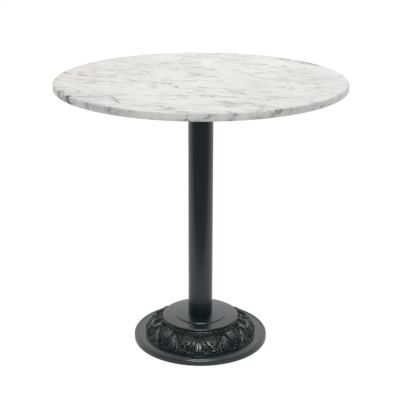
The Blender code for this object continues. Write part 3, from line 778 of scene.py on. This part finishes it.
# %% Leaf band, carved
crest_points = np.array(crest)
slope = np.gradient(crest_points, axis=0)
outward = np.stack([-slope[:, 1], slope[:, 0]], axis=1)
outward /= np.linalg.norm(outward, axis=1)[:, None]
outward[BAND_ROWS - 2 :] = (1, 0)

spots = np.array([(math.hypot(v.co.x, v.co.y), v.co.z, math.atan2(v.co.x, -v.co.y)) for v in band.verts])
gaps = np.abs(spots[:, None, :2] - crest_points[None]).sum(axis=2)
rows = gaps.argmin(axis=1)
on_crest = gaps.min(axis=1) < 10 * MERGE_DISTANCE
shares = np.minimum(rows / BAND_ROWS, 1.0)
height = relief_height(np.abs(spots[:, 2] - TWIST) / half_angle, shares)
sink = RELIEF_DEPTH * (1 - height) * np.clip(rows / FADE_ROWS, 0.1, 1)
for vert, row, angle, drop, high, lies_on in zip(band.verts, rows, spots[:, 2], sink, height, on_crest):
    if lies_on:
        radius, z = crest_points[row] - outward[row] * drop
        vert.co = (radius * math.sin(angle), -radius * math.cos(angle), z)
        vert[relief_layer] = float(high)

# %% Leaf band, set round the base
one_repeat = band.verts[:] + band.edges[:] + band.faces[:]
for number in range(1, REPEATS):
    copied = bmesh.ops.duplicate(band, geom=one_repeat)["geom"]
    bmesh.ops.rotate(
        band, verts=[g for g in copied if isinstance(g, bmesh.types.BMVert)],
        cent=(0, 0, 0), matrix=Matrix.Rotation(2 * half_angle * number, 3, "Z"),
    )
bmesh.ops.remove_doubles(band, verts=band.verts, dist=2 * MERGE_DISTANCE)
bmesh.ops.recalc_face_normals(band, faces=band.faces)
leaves = make_piece("acanthus_leaf_band", band, leaf_enamel, "table", sharp_from=85)

# %% [markdown]
# ## Fixings
# Everything under the slab and under the base is plain hardware, and the measured pieces are already its
# true shape. They only need their finishes, and one function makes them all. A thread is too fine to model
# here, so it is a bump whose period is the pitch of the thread.

# %% Finishes of the fixings
GRAIN_DEPTH = 0.00005
THREAD_DEPTH = 0.6  # share of the pitch
CLOUD_MM = 6.25
BANDS_PER_METRE = 20 / math.tau  # what a wave texture of scale 1 draws


def metal(name, hex_colour, rough_low, rough_high, grain_mm, pitch_mm=0.0, metallic=1.0):
    """A finish with cloudy roughness and a fine grain. A pitch draws the rings of a thread instead."""
    made, tree, shader = new_finish(name)
    place = add(tree, "ShaderNodeTexCoord").outputs["Object"]
    cloud = add(
        tree, "ShaderNodeTexNoise", {"Vector": place, "Scale": 1000 / CLOUD_MM, "Detail": 3.0}
    ).outputs[0]
    gloss = add(
        tree, "ShaderNodeMapRange", {"Value": cloud, "To Min": rough_low, "To Max": rough_high}
    ).outputs[0]
    tree.links.new(gloss, shader.inputs["Roughness"])
    if pitch_mm:
        wave_scale = 1000 / pitch_mm / BANDS_PER_METRE
        height = add(
            tree, "ShaderNodeTexWave", {"Vector": place, "Scale": wave_scale}, bands_direction="Z"
        ).outputs[1]
        depth = THREAD_DEPTH * pitch_mm / 1000
    else:
        height = add(
            tree, "ShaderNodeTexNoise", {"Vector": place, "Scale": 1000 / grain_mm, "Detail": 2.0}
        ).outputs[0]
        depth = GRAIN_DEPTH
    bump = add(tree, "ShaderNodeBump", {"Height": height, "Strength": 0.5, "Distance": depth}).outputs[0]
    tree.links.new(bump, shader.inputs["Normal"])
    shader.inputs["Base Color"].default_value = linear(hex_colour)
    shader.inputs["Metallic"].default_value = metallic
    return made


# bright zinc: a cold light grey, cloudy where the bath left it thicker
zinc = metal("zinc_plated_steel", "#C4C8C9", 0.22, 0.38, 0.6)
# the same plating on rolled threads is given a little darker colour: painted shade for the grooves, which
# mirror each other and are only a bump here
m8_thread = metal("zinc_m8_thread", "#B9BDBF", 0.25, 0.4, 0.6, pitch_mm=1.25)
m10_thread = metal("zinc_m10_thread", "#B9BDBF", 0.25, 0.4, 0.6, pitch_mm=1.5)
# brass fresh from the lathe: warm yellow, with a satin sheen
brass = metal("turned_brass", "#C8A45A", 0.25, 0.4, 0.8)
# moulded nylon: nearly black and dull, with the fine spark-eroded grain of its mould
nylon = metal("black_nylon", "#1B1B1C", 0.5, 0.7, 0.9, metallic=0.0)
# the spider wears the base's enamel, over a slightly coarser sand grain
spider_iron = enamel("enamel_on_spider", 1.8, 0.0002)

# %% Fixings
# the first entry that fits a node's name counts, so the small fixings come before the tie rod
LOOKS = {
    "spider": spider_iron, "slab_insert": brass, "_stud": m8_thread, "_pad": nylon,
    "bolt": zinc, "nut": zinc, "washer": zinc, "tie_rod": m10_thread,
}
for node_name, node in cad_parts.items():
    fitting = [look for part_of_name, look in LOOKS.items() if part_of_name in node_name]
    if fitting:
        node.data.materials.clear()
        node.data.materials.append(fitting[0])
        print(f"{node_name}: {fitting[0].name}")

# %% [markdown]
# ## Light
# The table stands in a white studio whose camera side is dark. Dark enamel shows mostly what it mirrors:
# the bright wall behind at its edges, and the dark room in front. There are three floors for that. The lens
# sees an even white one. The object is lit by, and mirrors, a glowing one that ends in front of the column
# and a dark one from there on.

# %% Floors
def staged(name, shape, look):
    """Turns a bmesh into a part of the room, which is not part of the table."""
    mesh = bpy.data.meshes.new(name)
    shape.to_mesh(mesh)
    shape.free()
    mesh.materials.append(look)
    made = bpy.data.objects.new(name, mesh)
    bpy.context.scene.collection.objects.link(made)
    made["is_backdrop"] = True
    return made


def glow(name, strength, grey="#404040"):
    """A dull sheet that gives off an even white light."""
    made, _, shader = new_finish(name)
    shader.inputs["Base Color"].default_value = linear(grey)
    shader.inputs["Roughness"].default_value = 1.0
    shader.inputs["Specular IOR Level"].default_value = 0.0
    shader.inputs["Emission Color"].default_value = (1, 1, 1, 1)
    shader.inputs["Emission Strength"].default_value = strength
    return made


def flat(x_low, x_high, y_low, y_high, z):
    """A level rectangle between two x and two y."""
    shape = bmesh.new()
    bmesh.ops.create_grid(shape, x_segments=1, y_segments=1, size=1.0)
    for vert in shape.verts:
        vert.co = (
            x_low + (x_high - x_low) * (vert.co.x + 1) / 2,
            y_low + (y_high - y_low) * (vert.co.y + 1) / 2,
            z,
        )
    return shape


FAR_EDGE = 14.0
HALF_WIDTH = 2.5
BACK_EDGE = 3.0
FRONT_EDGE = -3.5
DARK_FROM = -0.42  # the glowing floor ends this far in front of the column
SEEN_LEVEL = -0.001
LIT_LEVEL = -0.002
seen_floor = staged(
    "seen_floor", flat(-FAR_EDGE, FAR_EDGE, -FAR_EDGE, FAR_EDGE, SEEN_LEVEL), glow("white_acrylic", 0.98)
)
seen_floor.visible_diffuse = False
seen_floor.visible_glossy = False
seen_floor.visible_shadow = False
lit_floor = staged(
    "lit_floor", flat(-HALF_WIDTH, HALF_WIDTH, DARK_FROM, BACK_EDGE, LIT_LEVEL),
    glow("lit_acrylic", 0.55, "#B0B0B0"),
)
dark_floor = staged(
    "dark_floor", flat(-HALF_WIDTH, HALF_WIDTH, FRONT_EDGE, DARK_FROM, LIT_LEVEL), glow("dark_carpet", 0.22)
)
for hidden in (lit_floor, dark_floor):
    hidden.visible_camera = False

# %% [markdown]
# ## Room and lamps
# The room is a plain gradient, dim in front and bright behind, and the lens sees it as even white. Marble
# and enamel then need very different amounts of light: what shows the leaves would burn out a white slab.
# In a studio, flags and grids keep a lamp off one part of a set. Here, light linking does the same. Two
# lamps light everything, one only the enamelled iron and steel, and one only the slab. That one stands low
# in front, so it brightens the slab's edge and only grazes its face.

# %% Room
ROOM_IN_FRONT = 0.22
ROOM_BEHIND = 1.2
world = bpy.data.worlds.new("white_studio")
bpy.context.scene.world = world
world.use_nodes = True
sky = world.node_tree
background = sky.nodes["Background"]
direction = add(sky, "ShaderNodeTexCoord").outputs["Generated"]
parts = add(sky, "ShaderNodeSeparateXYZ", {0: direction})
towards_back = add(
    sky, "ShaderNodeMapRange",
    {"Value": parts.outputs["Y"], "From Min": -0.5, "From Max": 0.6,
     "To Min": ROOM_IN_FRONT, "To Max": ROOM_BEHIND},
    interpolation_type="SMOOTHSTEP",
).outputs[0]
first_sight = add(sky, "ShaderNodeLightPath").outputs["Is Camera Ray"]
strength = add(sky, "ShaderNodeMix", {0: first_sight, 2: towards_back, 3: 1.0}).outputs[0]
sky.links.new(strength, background.inputs["Strength"])
background.inputs["Color"].default_value = (1, 1, 1, 1)


# %% Lamps
def soft_light(name, place, target, width, height, watts, only=()):
    """A rectangular lamp. It lights everything, or only the pieces that are listed."""
    lamp = bpy.data.lights.new(name, "AREA")
    lamp.shape = "RECTANGLE"
    lamp.size = width
    lamp.size_y = height
    lamp.energy = watts
    made = bpy.data.objects.new(name, lamp)
    made.location = place
    made.rotation_euler = (Vector(target) - Vector(place)).to_track_quat("-Z", "Y").to_euler()
    bpy.context.scene.collection.objects.link(made)
    if only:
        lit = bpy.data.collections.new(name + "_receivers")
        for piece in only:
            lit.objects.link(piece)
        made.light_linking.receiver_collection = lit


AT_BASE = (0, 0, 0.05)
AT_EDGE = (0, 0, 0.72)
AT_SLAB = (0, 0.1, 0.7)
# name, place, target, width and height in metres, watts, and what it lights
soft_light("lamp_over_camera", (0.0, -1.3, 2.6), AT_BASE, 0.9, 0.4, 5)
soft_light("softbox_behind", (0.2, 1.3, 2.3), AT_SLAB, 1.6, 1.0, 12.5)
soft_light("iron_lamp", (0.0, -1.35, 2.4), AT_BASE, 1.1, 1.0, 72, [base, leaves, column])
soft_light("edge_lamp", (0.0, -2.6, 0.75), AT_EDGE, 2.4, 0.6, 26, [tabletop])

# %% [markdown]
# ## Camera
# The camera looks down on the slab from chest height, from about two and a half metres away. A long lens
# keeps the slab and the base in proportion: from nearer by, the slab would look wider and the base smaller.

# %% Camera
CAMERA_PLACE = (-0.0035, -2.512, 1.263)
LOOKING_DOWN = 18.85
ROLL = -0.12
SENSOR_MM = 36
LENS_MM = 88.55
camera_data = bpy.data.cameras.new("camera")
camera = bpy.data.objects.new("camera", camera_data)
camera.location = CAMERA_PLACE
camera.rotation_euler = (math.radians(90 - LOOKING_DOWN), math.radians(ROLL), 0)
camera_data.sensor_width = SENSOR_MM
camera_data.lens = LENS_MM
bpy.context.scene.collection.objects.link(camera)
bpy.context.scene.camera = camera
bpy.context.scene.view_settings.view_transform = "Standard"

# %% Sizes, then the last line
low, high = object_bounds()
